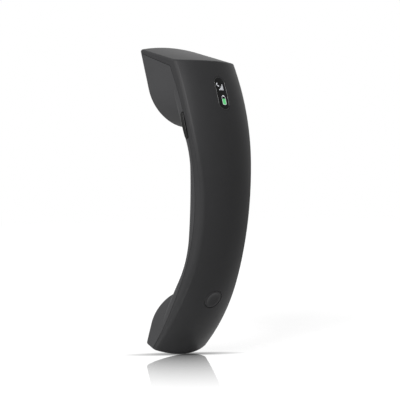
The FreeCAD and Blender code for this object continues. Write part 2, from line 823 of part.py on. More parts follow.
def frontHousing():
    shell = cut("HousingShell", hollow, seamBlock("SeamFront", "seamGap"))
    earPlate = "capThickness + plateThickness"
    earRing = "receiverRadius + moveGap"
    earBack = "(earCapPlug + meshThickness + gasketThickness + receiverHeight)"
    mouthPin = "microphoneRadius + bootWall + fitGap"
    mouthBack = "(mouthCapPlug + bootHeight)"
    grown = [
        rod("EarPlate", earFrame, "0", "-(%s)" % earPlate, "0", "earCapRadius + plateMargin", earPlate),
        rod("EarRing", earFrame, "0", "-" + earBack, "0", "%s + ringWall" % earRing, earBack),
        rod("MouthPlate", mouthFrame, "0", "-(%s)" % earPlate, "mouthCapRaise",
            "mouthCapRadius + mouthPlateMargin", earPlate),
        rod("MouthRing", mouthFrame, "0", "-" + mouthBack, "mouthCapRaise", "%s + ringWall" % mouthPin,
            mouthBack),
    ]
    tools = [
        rod("EarRecess", earFrame, "0", "-capThickness", "0", "earCapRadius + fitGap", "farSide"),
        rod("EarBore", earFrame, "0", "-farSide / 2", "0", earRing, "farSide"),
        rod("MouthRecess", mouthFrame, "0", "-capThickness", "mouthCapRaise", "mouthCapRadius + fitGap",
            "farSide"),
        rod("MouthBore", mouthFrame, "0", "-farSide / 3", "mouthCapRaise", mouthPin, "farSide"),
    ]
    for number, across in enumerate(earScrewSpots):
        spot = (displayFrame, across)
        grown.append(rod("EarBoss%d" % number, *spot, "earJointDepth", earScrewAlong, "bossRadius",
                         "farSide"))
        tools.append(rod("EarScrewBore%d" % number, *spot, "earJointDepth + headSeat", earScrewAlong,
                         "boreRadius", "farSide"))
        tools.append(rod("EarScrewHole%d" % number, *spot, "0", earScrewAlong, "screwRadius + fitGap",
                         "farSide"))
    for number, across in enumerate(mouthScrewSpots):
        spot = (mouthFrame, across)
        along = "mouthCapRaise"
        grown.append(rod("MouthBoss%d" % number, *spot, "-mouthJointDepth", along, "bossRadius",
                         "mouthJointDepth"))
        tools.append(rod("MouthScrewBore%d" % number, *spot, "-mouthJointDepth + headSeat", along,
                         "boreRadius", "farSide"))
        tools.append(rod("MouthScrewHole%d" % number, *spot, "-farSide / 3", along,
                         "screwRadius + fitGap", "farSide"))
    for number, side in enumerate(("-", "")):
        spot = (mouthFrame, side + "contactAcross")
        tools.append(rod("ContactHole%d" % number, *spot, "-farSide / 4", "-contactDrop",
                         "contactRadius", "farSide"))
        tools.append(rod("ContactRecess%d" % number, *spot, "-contactSink", "-contactDrop",
                         "contactHeadRadius + fitGap", "farSide"))
    sideReach = keyWallAt("0")
    cheekStart = "keyWidth / 2 + moveGap + keyCheekThickness / 2"
    cheek = block("KeyCheek", keyFrame, "-%s + keyCheekReach / 2" % sideReach, cheekStart, "0",
                  "keyCheekReach", "keyCheekThickness", "keyCheekLength")
    grown.append(cheek)
    tools.append(rod("KeyPinHole", keyFrame, "-%s + keyPinDepth" % sideReach, "0", "0", "keyPinRadius",
                     "farSide"))
    opening = prism("KeyOpening", "YZ_Plane", [(up, along) + tuple(more) for up, along, *more in
                    stadium("keyWidth", "keyLength", "moveGap")], "wall * 3")
    tools.append(place(opening, keyFrame, "-" + sideReach))
    tools.append(block("KeyNotch", keyFrame, "-" + sideReach, "-keyWidth", "0", "wall * 3",
                       "2 * keyWidth", "keyLength"))
    inside = common("HousingGrowth", [fuse("HousingGrown", grown), growthForm])
    return cut("HousingCut", fuse("HousingWhole", [shell, inside]), fuse("HousingTools", tools))


# Display

def displayWindow():
    plate = pill("WindowPlate", displayFrame, "-farSide", "windowWidth", "windowLength",
                 "farSide + windowSeat")
    face = fuse("WindowCrown", [
        crownRing("WindowCrownUpper", "spineUpperRadius", 1, "windowRecess"),
        crownRing("WindowCrownLower", "spineLowerRadius", -1, "windowRecess"),
    ])
    return common("WindowCut", [plate, face])


def displayModule():
    middle = "windowFrameDepth + moduleThickness / 2"
    return block("ModuleBlock", displayFrame, "0", middle, "0", "moduleWidth", "moduleThickness",
                 "moduleLength")


def displayHolder():
    length = "boardDepth - windowFrameDepth"
    outer = block("HolderOuter", displayFrame, "0", "windowFrameDepth + (%s) / 2" % length, "0",
                  "moduleWidth + 2 * (fitGap + holderWall)", length,
                  "moduleLength + 2 * (fitGap + holderWall)")
    seat = block("HolderSeat", displayFrame, "0", "windowFrameDepth", "0",
                 "moduleWidth + 2 * fitGap", "2 * moduleThickness", "moduleLength + 2 * fitGap")
    through = block("HolderThrough", displayFrame, "0", "boardDepth / 2", "0",
                    "moduleWidth - 2 * holderWall", "2 * boardDepth", "moduleLength - 2 * holderWall")
    return cut("HolderCut", outer, fuse("HolderTools", [seat, through]))


# Boards

def boardPlate(label, frame, depth, width, length, drop):
    # a rectangular board with rounded corners
    corner = "boardCorner"
    right, up = "(%s) / 2" % width, "(%s) / 2 - %s" % (length, drop)
    down = "-(%s) / 2 - %s" % (length, drop)
    steps = [
        ("%s - %s" % (right, corner), down, corner, 1),
        (right, "%s + %s" % (down, corner)),
        (right, "%s - %s" % (up, corner), corner, 1),
        ("%s - %s" % (right, corner), up),
        ("-%s + %s" % (right, corner), up, corner, 1),
        ("-" + right, "%s - %s" % (up, corner)),
        ("-" + right, "%s + %s" % (down, corner), corner, 1),
        ("-%s + %s" % (right, corner), down),
    ]
    item = prism(label, "XZ_Plane", steps, "boardThickness")
    return place(item, frame, depth="%s + boardThickness / 2" % depth)


def mainBoard():
    plate = boardPlate("MainPlate", displayFrame, "boardDepth", "boardWidth", "boardLength",
                       "boardDrop")
    holes = [rod("MainTallHole%d" % number, displayFrame, across, "0", earScrewAlong,
                 "tallPostRadius + fitGap", "farSide")
             for number, across in enumerate(earScrewSpots)]
    holes += [rod("MainHole%d" % number, displayFrame, across, "0", "-postDrop", "screwRadius + fitGap",
                  "farSide")
              for number, across in enumerate(mainPostSpots)]
    return cut("MainCut", plate, fuse("MainHoles", holes))


def lowerBoard():
    plate = boardPlate("LowerPlate", buttonFrame, "lowerBoardDepth", "lowerBoardWidth",
                       "lowerBoardLength", "lowerBoardDrop")
    holes = [rod("LowerHole%d" % number, buttonFrame, across, "0", along, "screwRadius + fitGap",
                 "farSide")
             for number, (across, along) in enumerate(lowerPostSpots)]
    return cut("LowerCut", plate, fuse("LowerHoles", holes))


def radioShield():
    middle = "boardDepth + boardThickness + shieldHeight / 2"
    return block("ShieldCan", displayFrame, "0", middle, "-shieldDrop", "shieldWidth", "shieldHeight",
                 "shieldLength")


def antenna():
    middle = "boardDepth + boardThickness + antennaDepth / 2"
    return block("AntennaStrip", displayFrame, "0", middle, "antennaRaise", "antennaWidth",
                 "antennaDepth", "antennaLength")


def boardScrews():
    pieces = [screw("MainScrew%d" % number, displayFrame, across, "boardDepth + boardThickness",
                    "-postDrop",
                    "screwBite + boardThickness") for number, across in enumerate(mainPostSpots)]
    pieces += [screw("LowerScrew%d" % number, buttonFrame, across, "lowerBoardDepth + boardThickness",
                     along,
                     "screwBite + boardThickness") for number,
                     (across, along) in enumerate(lowerPostSpots)]
    return group("BoardScrewSet", pieces)


def housingScrews():
    pieces = [screw("EarScrew%d" % number, displayFrame, across, "earJointDepth + headSeat",
                    earScrewAlong,
                    "housingScrewLength") for number, across in enumerate(earScrewSpots)]
    pieces += [screw("MouthScrew%d" % number, mouthFrame, across, "-mouthJointDepth + headSeat",
                     "mouthCapRaise",
                     "housingScrewLength") for number, across in enumerate(mouthScrewSpots)]
    return group("HousingScrewSet", pieces)


# Volume key with its pin and the two switches behind it

def keyWallAt(along):
    # half width of the handset at a place along the key
    arc = sCurve("waistHeight", "earCupHeight", "waistHalfWidth", "earHalfWidth")
    fall = "(earCupHeight - keyHeight - (%s) * cos(%s))" % (along, keyLean)
    return "(earHalfWidth - %s + sqrt((%s)^2 - %s^2))" % (arc, arc, fall)


def volumeKey():
    half = "keyLength / 2"
    lipEnd = "(%s + moveGap + keyLipLength)" % half
    face = [(side, "-(%s + keyProud - keyBulge)" % keyWallAt(side + half)) for side in ("-", "")]
    back = [(side, "(keyBack - %s)" % keyWallAt(side + half)) for side in ("-", "")]
    bulge = "((%s)^2 + keyBulge^2) / (2 * keyBulge)" % half
    outline = prism("KeyCap", "XZ_Plane", [
        (face[1][1], half, bulge, 1),
        (face[0][1], "-" + half),
        (back[0][1], "-" + half),
        (back[1][1], half),
    ], "keyWidth")
    ends = prism("KeyEnds", "YZ_Plane", stadium("keyWidth", "keyLength"), "farSide")
    place(ends, levelFrame)
    cap = common("KeyRounded", [outline, ends])
    inner = "wall + keyLipGap"
    steps = []
    for side in ("-", ""):
        lip = "(%s - %s)" % (inner, keyWallAt(side + lipEnd))
        steps.append((lip, side + lipEnd))
        steps.append(("%s + keyLipThickness" % lip, side + lipEnd))
    low, lowIn, high, highIn = steps
    tip = "-(sideSwitchReach + sideSwitchButton + keyThrow)"
    base = prism("KeyBase", "XZ_Plane", [low, lowIn, highIn, high], "keyBaseWidth")
    pushers = []
    for number, side in enumerate(("-", "")):
        root = "(%s - %s)" % (inner, keyWallAt(side + "keyPusherSpan"))
        middle = side + "keyPusherSpan"
        pushers.append(block("KeyPusher%d" % number, levelFrame, "(%s + %s) / 2" % (root, tip), "0",
                             middle,
                             "%s - %s" % (tip, root), "keyBaseWidth", "keyPusherWidth"))
    axis = "keyPinDepth - %s" % keyWallAt("0")
    barrel = rod("KeyBarrel", levelFrame, axis, "-keyWidth / 2", "0", "keyBarrelRadius", "keyWidth")
    bore = rod("KeyBore", levelFrame, axis, "-keyWidth", "0", "keyPinRadius + keyPinFit",
               "2 * keyWidth")
    whole = cut("KeyCut", fuse("KeyWhole", [cap, base, barrel] + pushers), bore)
    doc.recompute()
    body = doc.addObject("PartDesign::Body", "VolumeKeyBody")
    body.BaseFeature = whole
    outerSide = -value(keyWallAt("0")) - value("keyProud - keyBulge") / 2
    rounded(body, "keyEdgeRadius", lambda point: point.x < outerSide + 0.35)
    return place(body, keyFrame)


def volumeKeyPin():
    start = "-keyWidth / 2 + keyPinFit"
    length = "keyWidth + moveGap + keyCheekThickness"
    return rod("KeyPin", keyFrame, "keyPinDepth - %s" % keyWallAt("0"), start, "0", "keyPinRadius",
               length)


def volumeSwitches():
    pieces = []
    keyDepth, keyAlong = seenFrom(displayFrame, keyFrame["reach"], keyFrame["height"])
    start = "boardDepth + boardThickness"
    for number, side in enumerate(("-", "+")):
        along = "%s %s keyPusherSpan" % (keyAlong, side)
        body = block("SwitchBody%d" % number, displayFrame, "sideSwitchWidth / 2 - sideSwitchReach",
                     "%s + sideSwitchHeight / 2" % start, along, "sideSwitchWidth", "sideSwitchHeight",
                     "sideSwitchLength")
        button = block("SwitchButton%d" % number, displayFrame, "-sideSwitchReach",
                       "%s + sideSwitchHeight / 2" % start,
                       along, "2 * sideSwitchButton", "sideSwitchButtonSize", "sideSwitchButtonSize")
        pieces.append(fuse("SideSwitch%d" % number, [body, button]))
    return group("SideSwitches", pieces)


# Call button with its pad and switch

def callButton():
    body = turned("ButtonTurned", [
        ("0", "-buttonRadius"),
        ("buttonRadius", "-buttonRadius"),
        ("buttonRadius", "buttonSeat + fitGap"),
        ("buttonRadius + buttonFlange", "buttonSeat + fitGap"),
        ("buttonRadius + buttonFlange", "buttonSeat + fitGap + buttonFlangeThickness"),
        ("buttonStemRadius", "buttonSeat + fitGap + buttonFlangeThickness"),
        ("buttonStemRadius",
         "lowerBoardDepth - switchHeight - switchButtonHeight - buttonTravel - fitGap"),
        ("0", "lowerBoardDepth - switchHeight - switchButtonHeight - buttonTravel - fitGap"),
    ])
    place(body, buttonFrame)
    face = fuse("ButtonCrown", [
        crownRing("ButtonCrownUpper", "spineUpperRadius", 1, "buttonInset"),
        crownRing("ButtonCrownLower", "spineLowerRadius", -1, "buttonInset"),
    ])
    dish = doc.addObject("Part::Sphere", "ButtonDish")
    bind(dish, Radius="buttonDishRadius")
    place(dish, buttonFrame, depth="buttonDish - buttonDishRadius")
    whole = cut("ButtonCut", common("ButtonDomed", [body, face]), dish)
    doc.recompute()
    base = doc.addObject("PartDesign::Body", "CallButtonBody")
    base.BaseFeature = whole
    middle = [value(rule) for rule in pointIn(buttonFrame, "0", "0")]

    def isRim(point):
        fromMiddle = math.hypot(point.x, point.z - middle[1])
        return onTorusAt(point, "buttonInset") and fromMiddle < value("buttonRadius") + 1

    rounded(base, "buttonEdgeRadius", isRim)
    return base


def onTorusAt(point, inset):
    radius = value("spineUpperRadius" if point.z > value("crestHeight") else "spineLowerRadius")
    fromAxis = math.hypot(point.y - radius + value("crestReach"), point.z - value("crestHeight"))
    crown = value("crownRadius")
    return near(math.hypot(fromAxis - radius + crown, point.x) - crown + value(inset))


def callSwitch():
    start = "lowerBoardDepth - switchHeight"
    body = block("SwitchCase", buttonFrame, "0", "%s + switchHeight / 2" % start, "0", "switchSize",
                 "switchHeight", "switchSize")
    plunger = rod("SwitchPlunger", buttonFrame, "0", "%s - switchButtonHeight" % start, "0",
                  "switchButtonRadius", "switchHeight")
    return fuse("CallSwitchWhole", [body, plunger])


def buttonPad():
    start = "buttonSeat + buttonFlangeThickness + buttonTravel + 2 * fitGap"
    return tube("PadRing", buttonFrame, start, "padOuterRadius", "padInnerRadius",
                "lowerBoardDepth - (%s)" % start)


# Battery, its foam and the flat cable that passes it

def batteryPack():
    right, up = "batteryWidth / 2", "batteryLength / 2"
    corners = [(right, "-" + up), (right, up), ("-" + right, up), ("-" + right, "-" + up)]
    body = prism("BatteryBlock", "XZ_Plane", corners, "batteryThickness")
    rounded(body, "batteryEdge", lambda point: True, value("batteryLength / 2"))
    return place(body, batteryFrame, depth="-(wall + foamThickness + batteryThickness / 2)")


def batteryPad():
    foam = block("FoamBlock", batteryFrame, "0", "-(wall + foamThickness / 2)", "0", "foamWidth",
                 "foamThickness", "foamLength")
    channel = block("FoamChannel", batteryFrame, "0", "-wall", "0", "foamChannelWidth",
                    "2 * foamChannelDepth", "2 * foamLength")
    return cut("FoamCut", foam, channel)


def boardLink():
    # a flat cable from the main board, past the battery, to the lower board
    half = "cableThickness / 2"
    boardFace = "boardDepth + boardThickness + " + half
    lowerFace = "lowerBoardDepth + boardThickness + " + half
    channel = "-(wall + foamChannelDepth / 2)"
    mainEnd = "-(boardLength / 2 + boardDrop)"
    lowerEnd = "lowerBoardLength / 2 - lowerBoardDrop"
    route = [
        (displayFrame, boardFace, "%s + cableTail" % mainEnd),
        (displayFrame, boardFace, mainEnd),
        (batteryFrame, channel, "foamLength / 2 + 1"),
        (batteryFrame, channel, "-batteryLength / 2"),
        (buttonFrame, lowerFace, lowerEnd),
        (buttonFrame, lowerFace, "%s - cableTail" % lowerEnd),
    ]
    under = [pointIn(frame, "%s - %s" % (depth, half), along) for frame, depth, along in route]
    over = [pointIn(frame, "%s + %s" % (depth, half), along) for frame, depth, along in route]
    return prism("LinkStrip", "YZ_Plane", [tuple(spot) for spot in under + over[::-1]], "cableWidth")


# Earpiece

def earCap():
    cap = soundCap("EarCapTurned", "earCapRadius", "earCapDish", "(receiverRadius + moveGap - fitGap)",
                   "earCapPlug")
    drilled(cap, "0", "1", "capHoleRadius")
    drilled(cap, "earHoleRingInner", "earHolesInner", "capHoleRadius")
    drilled(cap, "earHoleRingOuter", "earHolesOuter", "capHoleRadius")
    return place(cap, earFrame)


def earMesh():
    return rod("MeshDisc", earFrame, "0", "-(earCapPlug + meshThickness)", "0", "receiverRadius",
               "meshThickness")


def receiverGasket():
    depth = "-(earCapPlug + meshThickness + gasketThickness)"
    return tube("GasketRing", earFrame, depth, "receiverRadius", "receiverRadius - gasketWall",
                "gasketThickness")


def receiver():
    front = "-(earCapPlug + meshThickness + gasketThickness)"
    step = "-receiverStep"
    item = turned("ReceiverTurned", [
        ("0", "-receiverHeight"),
        ("magnetRadius", "-receiverHeight"),
        ("magnetRadius", step),
        ("receiverRadius", step),
        ("receiverRadius", "0"),
        ("0", "0"),
    ])
    return place(item, earFrame, depth=front)


def hookMagnet():
    return rod("MagnetDisc", earFrame, "0", "-(wall + hookMagnetHeight)", "hookMagnetRaise",
               "hookMagnetRadius", "hookMagnetHeight")


# Mouthpiece

def mouthCap():
    cap = soundCap("MouthCapTurned", "mouthCapRadius", "mouthCapDish", "(microphoneRadius + bootWall)",
                   "mouthCapPlug")
    drilled(cap, "0", "1", "capHoleRadius")
    drilled(cap, "mouthHoleRing", "mouthHoles", "capHoleRadius")
    return place(cap, mouthFrame, along="mouthCapRaise")


def microphone():
    depth = "-(mouthCapPlug + microphoneHeight)"
    return rod("MicrophoneCan", mouthFrame, "0", depth, "mouthCapRaise", "microphoneRadius",
               "microphoneHeight")


def microphoneBoot():
    depth = "-(mouthCapPlug + bootHeight)"
    outer = rod("BootOuter", mouthFrame, "0", depth, "mouthCapRaise", "microphoneRadius + bootWall",
                "bootHeight")
    pocket = rod("BootPocket", mouthFrame, "0", "-(mouthCapPlug + microphoneHeight)", "mouthCapRaise",
                 "microphoneRadius", "bootHeight")
    return cut("BootCut", outer, pocket)


def chargeContacts():
    pieces = []
    for number, side in enumerate(("-", "")):
        pin = turned("ContactPin%d" % number, [
            ("0", "-contactLength"),
            ("contactRadius", "-contactLength"),
            ("contactRadius", "0"),
            ("contactHeadRadius", "0"),
            ("contactHeadRadius * 0.7", "contactHeadHeight"),
            ("0", "contactHeadHeight"),
        ])
        pieces.append(place(pin, mouthFrame, side + "contactAcross", "-contactSink", "-contactDrop"))
    return group("ContactPair", pieces)


# Named parts

parts = {
    "spine_cover": spineCover(),
    "front_housing": frontHousing(),
    "display_window": displayWindow(),
    "display_module": displayModule(),
    "display_holder": displayHolder(),
    "main_board": mainBoard(),
    "lower_board": lowerBoard(),
    "radio_shield": radioShield(),
    "antenna": antenna(),
    "board_screws": boardScrews(),
    "housing_screws": housingScrews(),
    "volume_key": volumeKey(),
    "volume_key_pin": volumeKeyPin(),
    "volume_switches": volumeSwitches(),
    "call_button": callButton(),
    "call_switch": callSwitch(),
    "button_pad": buttonPad(),
    "battery_pack": batteryPack(),
    "battery_pad": batteryPad(),
    "board_link": boardLink(),
    "ear_cap": earCap(),
    "ear_mesh": earMesh(),
    "receiver_gasket": receiverGasket(),
    "receiver": receiver(),
    "hook_magnet": hookMagnet(),
    "mouth_cap": mouthCap(),
    "microphone": microphone(),
    "microphone_boot": microphoneBoot(),
    "charge_contacts": chargeContacts(),
}
for name, item in parts.items():
    item.Label = name
doc.recompute()

# Checking before anything is written
troubles = [item.Label for item in doc.Objects if "Invalid" in item.State or "Error" in item.State]
troubles += [name for name, item in parts.items() if item.Shape.isNull() or not item.Shape.isValid()]
if troubles:
    raise RuntimeError("not sound: " + ", ".join(troubles))
os.makedirs("parts", exist_ok=True)
for name, item in parts.items():
    item.Shape.exportStep("parts/%s.step" % name)
    print(name, len(item.Shape.Solids), round(item.Shape.Volume, 1))
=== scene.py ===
import math

import bmesh
import bpy
from mathutils import Matrix, Vector
from mathutils.bvhtree import BVHTree


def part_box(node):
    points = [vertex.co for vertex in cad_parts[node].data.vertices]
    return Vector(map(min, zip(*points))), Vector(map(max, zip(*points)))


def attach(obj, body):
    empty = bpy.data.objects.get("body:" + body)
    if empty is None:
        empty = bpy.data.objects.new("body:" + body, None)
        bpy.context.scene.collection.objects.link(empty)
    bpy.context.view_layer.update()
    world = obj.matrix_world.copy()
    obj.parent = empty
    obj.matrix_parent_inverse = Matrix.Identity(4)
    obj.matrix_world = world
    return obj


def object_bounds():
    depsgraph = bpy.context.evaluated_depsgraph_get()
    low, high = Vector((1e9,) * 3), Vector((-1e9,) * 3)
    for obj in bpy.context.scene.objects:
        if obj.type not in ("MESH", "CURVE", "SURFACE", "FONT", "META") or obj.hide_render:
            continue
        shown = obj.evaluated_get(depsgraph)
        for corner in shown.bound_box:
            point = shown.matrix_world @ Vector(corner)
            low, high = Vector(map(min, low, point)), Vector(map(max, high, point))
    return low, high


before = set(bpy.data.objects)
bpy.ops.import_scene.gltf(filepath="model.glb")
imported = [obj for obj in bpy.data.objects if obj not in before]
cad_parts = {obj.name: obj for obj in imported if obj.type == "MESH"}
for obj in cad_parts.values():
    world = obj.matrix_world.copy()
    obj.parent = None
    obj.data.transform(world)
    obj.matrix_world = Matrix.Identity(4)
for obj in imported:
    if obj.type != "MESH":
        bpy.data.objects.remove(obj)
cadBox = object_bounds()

# Handset of a cordless desk phone, standing on its mouth end on a white, mirror-like floor

scene = bpy.context.scene
scene.view_settings.view_transform = "Standard"
millimetre = 0.001


# Shader maths

def mathNode(tree, operation, *items):
    node = tree.nodes.new("ShaderNodeMath")
    node.operation = operation
    for slot, item in zip(node.inputs, items):
        if isinstance(item, Sock):
            tree.links.new(item.socket, slot)
        else:
            slot.default_value = item
    return Sock(tree, node.outputs[0])


class Sock:
    # one value of a node tree, used in plain sums
    def __init__(self, tree, socket):
        self.tree = tree
        self.socket = socket

    def __add__(self, other):
        return mathNode(self.tree, "ADD", self, other)

    def __radd__(self, other):
        return mathNode(self.tree, "ADD", other, self)

    def __sub__(self, other):
        return mathNode(self.tree, "SUBTRACT", self, other)

    def __rsub__(self, other):
        return mathNode(self.tree, "SUBTRACT", other, self)

    def __mul__(self, other):
        return mathNode(self.tree, "MULTIPLY", self, other)

    def __rmul__(self, other):
        return mathNode(self.tree, "MULTIPLY", other, self)

    def __pow__(self, other):
        return mathNode(self.tree, "POWER", self, other)

    def __gt__(self, other):
        return mathNode(self.tree, "GREATER_THAN", self, other)

    def clamped(self):
        return mathNode(self.tree, "MINIMUM", mathNode(self.tree, "MAXIMUM", self, 0), 1)

    def sine(self):
        return mathNode(self.tree, "SINE", self)

    def output(self, name):
        return Sock(self.tree, self.socket.node.outputs[name])


class Finish:
    # the nodes of one material, or of the world
    def __init__(self, owner):
        owner.use_nodes = True
        self.owner = owner
        self.tree = owner.node_tree
        self.tree.nodes.clear()

    def node(self, kind, settings, values, output=0):
        node = self.tree.nodes.new(kind)
        for name, value in settings.items():
            setattr(node, name, value)
        for name, value in values.items():
            if isinstance(value, Sock):
                self.tree.links.new(value.socket, node.inputs[name])
            else:
                node.inputs[name].default_value = value
        if len(node.outputs) > 0:
            return Sock(self.tree, node.outputs[output])

    def place(self):
        return self.node("ShaderNodeTexCoord", {}, {}, "Object")

    def across(self):
        # the place from side to side; its output "Z" is the height
        return self.node("ShaderNodeSeparateXYZ", {}, {"Vector": self.place()}, "X")

    def noise(self, pattern):
        scale, detail, roughness = pattern
        values = {"Vector": self.place(), "Scale": scale, "Detail": detail, "Roughness": roughness}
        return self.node("ShaderNodeTexNoise", {}, values, "Fac")

    def mixed(self, share, first, second):
        return self.node("ShaderNodeMix", {"data_type": "RGBA"}, {0: share, 6: first, 7: second}, 2)

    def bump(self, height, strength, distance):
        values = {"Height": height, "Strength": strength, "Distance": distance}
        return self.node("ShaderNodeBump", {}, values, "Normal")

    def surface(self, values):
        shader = self.node("ShaderNodeBsdfPrincipled", {}, values)
        self.node("ShaderNodeOutputMaterial", {}, {"Surface": shader})
        return self.owner


def finishNamed(name):
    return Finish(bpy.data.materials.new(name))


def tinted(colour, factor, lift=0.0):
    return tuple(min(1.0, part * factor + lift) for part in colour)


def shade(colour, factor=1.0, lift=0.0):
    # the same with an alpha, as a colour socket takes it
    return tinted(colour, factor, lift) + (1.0,)


# Moulded plastics; a noise is given by its scale per metre, its detail and its roughness

mouldedPlastic = {
    "grainNoise": (2600.0, 2.0, 0.6),
    "mottleNoise": (90.0, 3.0, 0.55),
    "wearNoise": (24.0, 4.0, 0.6),
    "grain": 0.35,           # strength of the bump
    "grainDepth": 0.00003,   # metres, as is every depth here
    "colourVary": 0.12,
    "roughVary": 0.10,
    "gloss": 0.15,
}


def moulded(name, colour, roughness, grain=mouldedPlastic["grain"], gloss=mouldedPlastic["gloss"]):
    # fine spark-eroded grain with faint handling marks
    plastic = mouldedPlastic
    finish = finishNamed(name)
    fine = finish.noise(plastic["grainNoise"])
    mottle = finish.noise(plastic["mottleNoise"])
    wear = finish.noise(plastic["wearNoise"])
    tone = (mottle * 0.5 + fine * 0.5).clamped()
    rough = (wear - 0.5) * plastic["roughVary"] + (fine - 0.5) * plastic["roughVary"] + roughness
    darker, lighter = 1 - plastic["colourVary"], 1 + plastic["colourVary"]
    return finish.surface({
        "Base Color": finish.mixed(tone, shade(colour, darker), shade(colour, lighter)),
        "Roughness": rough.clamped(),
        "Specular IOR Level": gloss,
        "Normal": finish.bump(fine, grain, plastic["grainDepth"]),
    })


polishedPlastic = {
    "peelNoise": (420.0, 2.0, 0.5),
    "hazeNoise": (60.0, 4.0, 0.6),
    "peel": 0.05,
    "peelDepth": 0.00002,
    "roughVary": 0.06,
    "darker": 0.7,
    "lighter": 1.4,
}


def polished(name, level, roughness, gloss):
    # polished black plastic with a faint orange-peel and handling haze
    plastic = polishedPlastic
    finish = finishNamed(name)
    peel = finish.noise(plastic["peelNoise"])
    haze = finish.noise(plastic["hazeNoise"])
    colour = (level, level, level)
    darker, lighter = shade(colour, plastic["darker"]), shade(colour, plastic["lighter"])
    return finish.surface({
        "Base Color": finish.mixed(haze, darker, lighter),
        "Roughness": ((haze - 0.5) * plastic["roughVary"] + roughness).clamped(),
        "Specular IOR Level": gloss,
        "Normal": finish.bump(peel, plastic["peel"], plastic["peelDepth"]),
    })


# Metals, rubber, cloth and board lacquer

bareMetal = {
    "brushNoise": (900.0, 3.0, 0.6),
    "dullNoise": (150.0, 3.0, 0.6),
    "brush": 0.08,
    "brushDepth": 0.00002,
    "roughVary": 0.12,
    "darker": 0.8,
}


def metal(name, colour, roughness):
    finish = finishNamed(name)
    brushed = finish.noise(bareMetal["brushNoise"])
    dull = finish.noise(bareMetal["dullNoise"])
    return finish.surface({
        "Base Color": finish.mixed(dull, shade(colour, bareMetal["darker"]), shade(colour)),
        "Metallic": 1.0,
        "Roughness": ((brushed - 0.5) * bareMetal["roughVary"] + roughness).clamped(),
        "Normal": finish.bump(brushed, bareMetal["brush"], bareMetal["brushDepth"]),
    })


softRubber = {
    "grainNoise": (1400.0, 3.0, 0.6),
    "dustNoise": (120.0, 4.0, 0.6),
    "grain": 0.25,
    "grainDepth": 0.00004,
    "roughVary": 0.15,
    "lighter": 1.25,
    "dust": 0.004,           # added to the colour where dust lies
    "gloss": 0.25,
}


def rubbery(name, colour, roughness):
    finish = finishNamed(name)
    grain = finish.noise(softRubber["grainNoise"])
    dust = finish.noise(softRubber["dustNoise"])
    dusty = shade(colour, softRubber["lighter"], softRubber["dust"])
    return finish.surface({
        "Base Color": finish.mixed(dust, shade(colour), dusty),
        "Roughness": ((grain - 0.5) * softRubber["roughVary"] + roughness).clamped(),
        "Specular IOR Level": softRubber["gloss"],
        "Normal": finish.bump(grain, softRubber["grain"], softRubber["grainDepth"]),
    })


wovenMesh = {
    "threads": 2600.0,       # threads per metre
    "relief": 0.6,
    "threadDepth": 0.00008,
    "dark": (0.006, 0.006, 0.006),
    "light": (0.045, 0.045, 0.047),
    "fuzzNoise": (3000.0, 2.0, 0.6),
    "roughness": 0.7,
    "roughVary": 0.2,
    "gloss": 0.2,
}


def woven(name):
    # black acoustic cloth, threads crossing from side to side and upwards
    cloth = wovenMesh
    finish = finishNamed(name)
    spot = finish.across()
    turns = cloth["threads"] * math.pi
    crossing = ((spot * turns).sine() * (spot.output("Z") * turns).sine() * 0.5 + 0.5).clamped()
    fuzz = finish.noise(cloth["fuzzNoise"])
    return finish.surface({
        "Base Color": finish.mixed(crossing, shade(cloth["dark"]), shade(cloth["light"])),
        "Roughness": (fuzz * cloth["roughVary"] + cloth["roughness"]).clamped(),
        "Specular IOR Level": cloth["gloss"],
        "Normal": finish.bump(crossing, cloth["relief"], cloth["threadDepth"]),
    })


boardLacquer = {
    "tracks": 5200.0,        # radians per metre from side to side
    "trackEdge": 0.55,       # a copper track lies where the sine is above this
    "relief": 0.2,
    "trackDepth": 0.00003,
    "wander": 26.0,          # radians that the tracks stray
    "wanderNoise": (70.0, 1.0, 0.4),
    "bare": (0.006, 0.060, 0.024),
    "overCopper": (0.014, 0.105, 0.046),
    "stain": (0.010, 0.050, 0.022),
    "stainShare": 0.4,
    "cloudNoise": (160.0, 3.0, 0.5),
    "roughness": 0.26,
    "roughVary": 0.15,
    "gloss": 0.45,
}


def solderMask(name):
    # green board lacquer, slightly lighter where copper runs below it
    board = boardLacquer
    finish = finishNamed(name)
    wander = finish.noise(board["wanderNoise"]) * board["wander"]
    tracks = (finish.across() * board["tracks"] + wander).sine() > board["trackEdge"]
    cloud = finish.noise(board["cloudNoise"])
    lacquer = finish.mixed(tracks, shade(board["bare"]), shade(board["overCopper"]))
    stained = (cloud * board["stainShare"]).clamped()
    return finish.surface({
        "Base Color": finish.mixed(stained, lacquer, shade(board["stain"])),
        "Roughness": (cloud * board["roughVary"] + board["roughness"]).clamped(),
        "Specular IOR Level": board["gloss"],
        "Normal": finish.bump(tracks, board["relief"], board["trackDepth"]),
    })


# Finishes of the moulded and bought parts

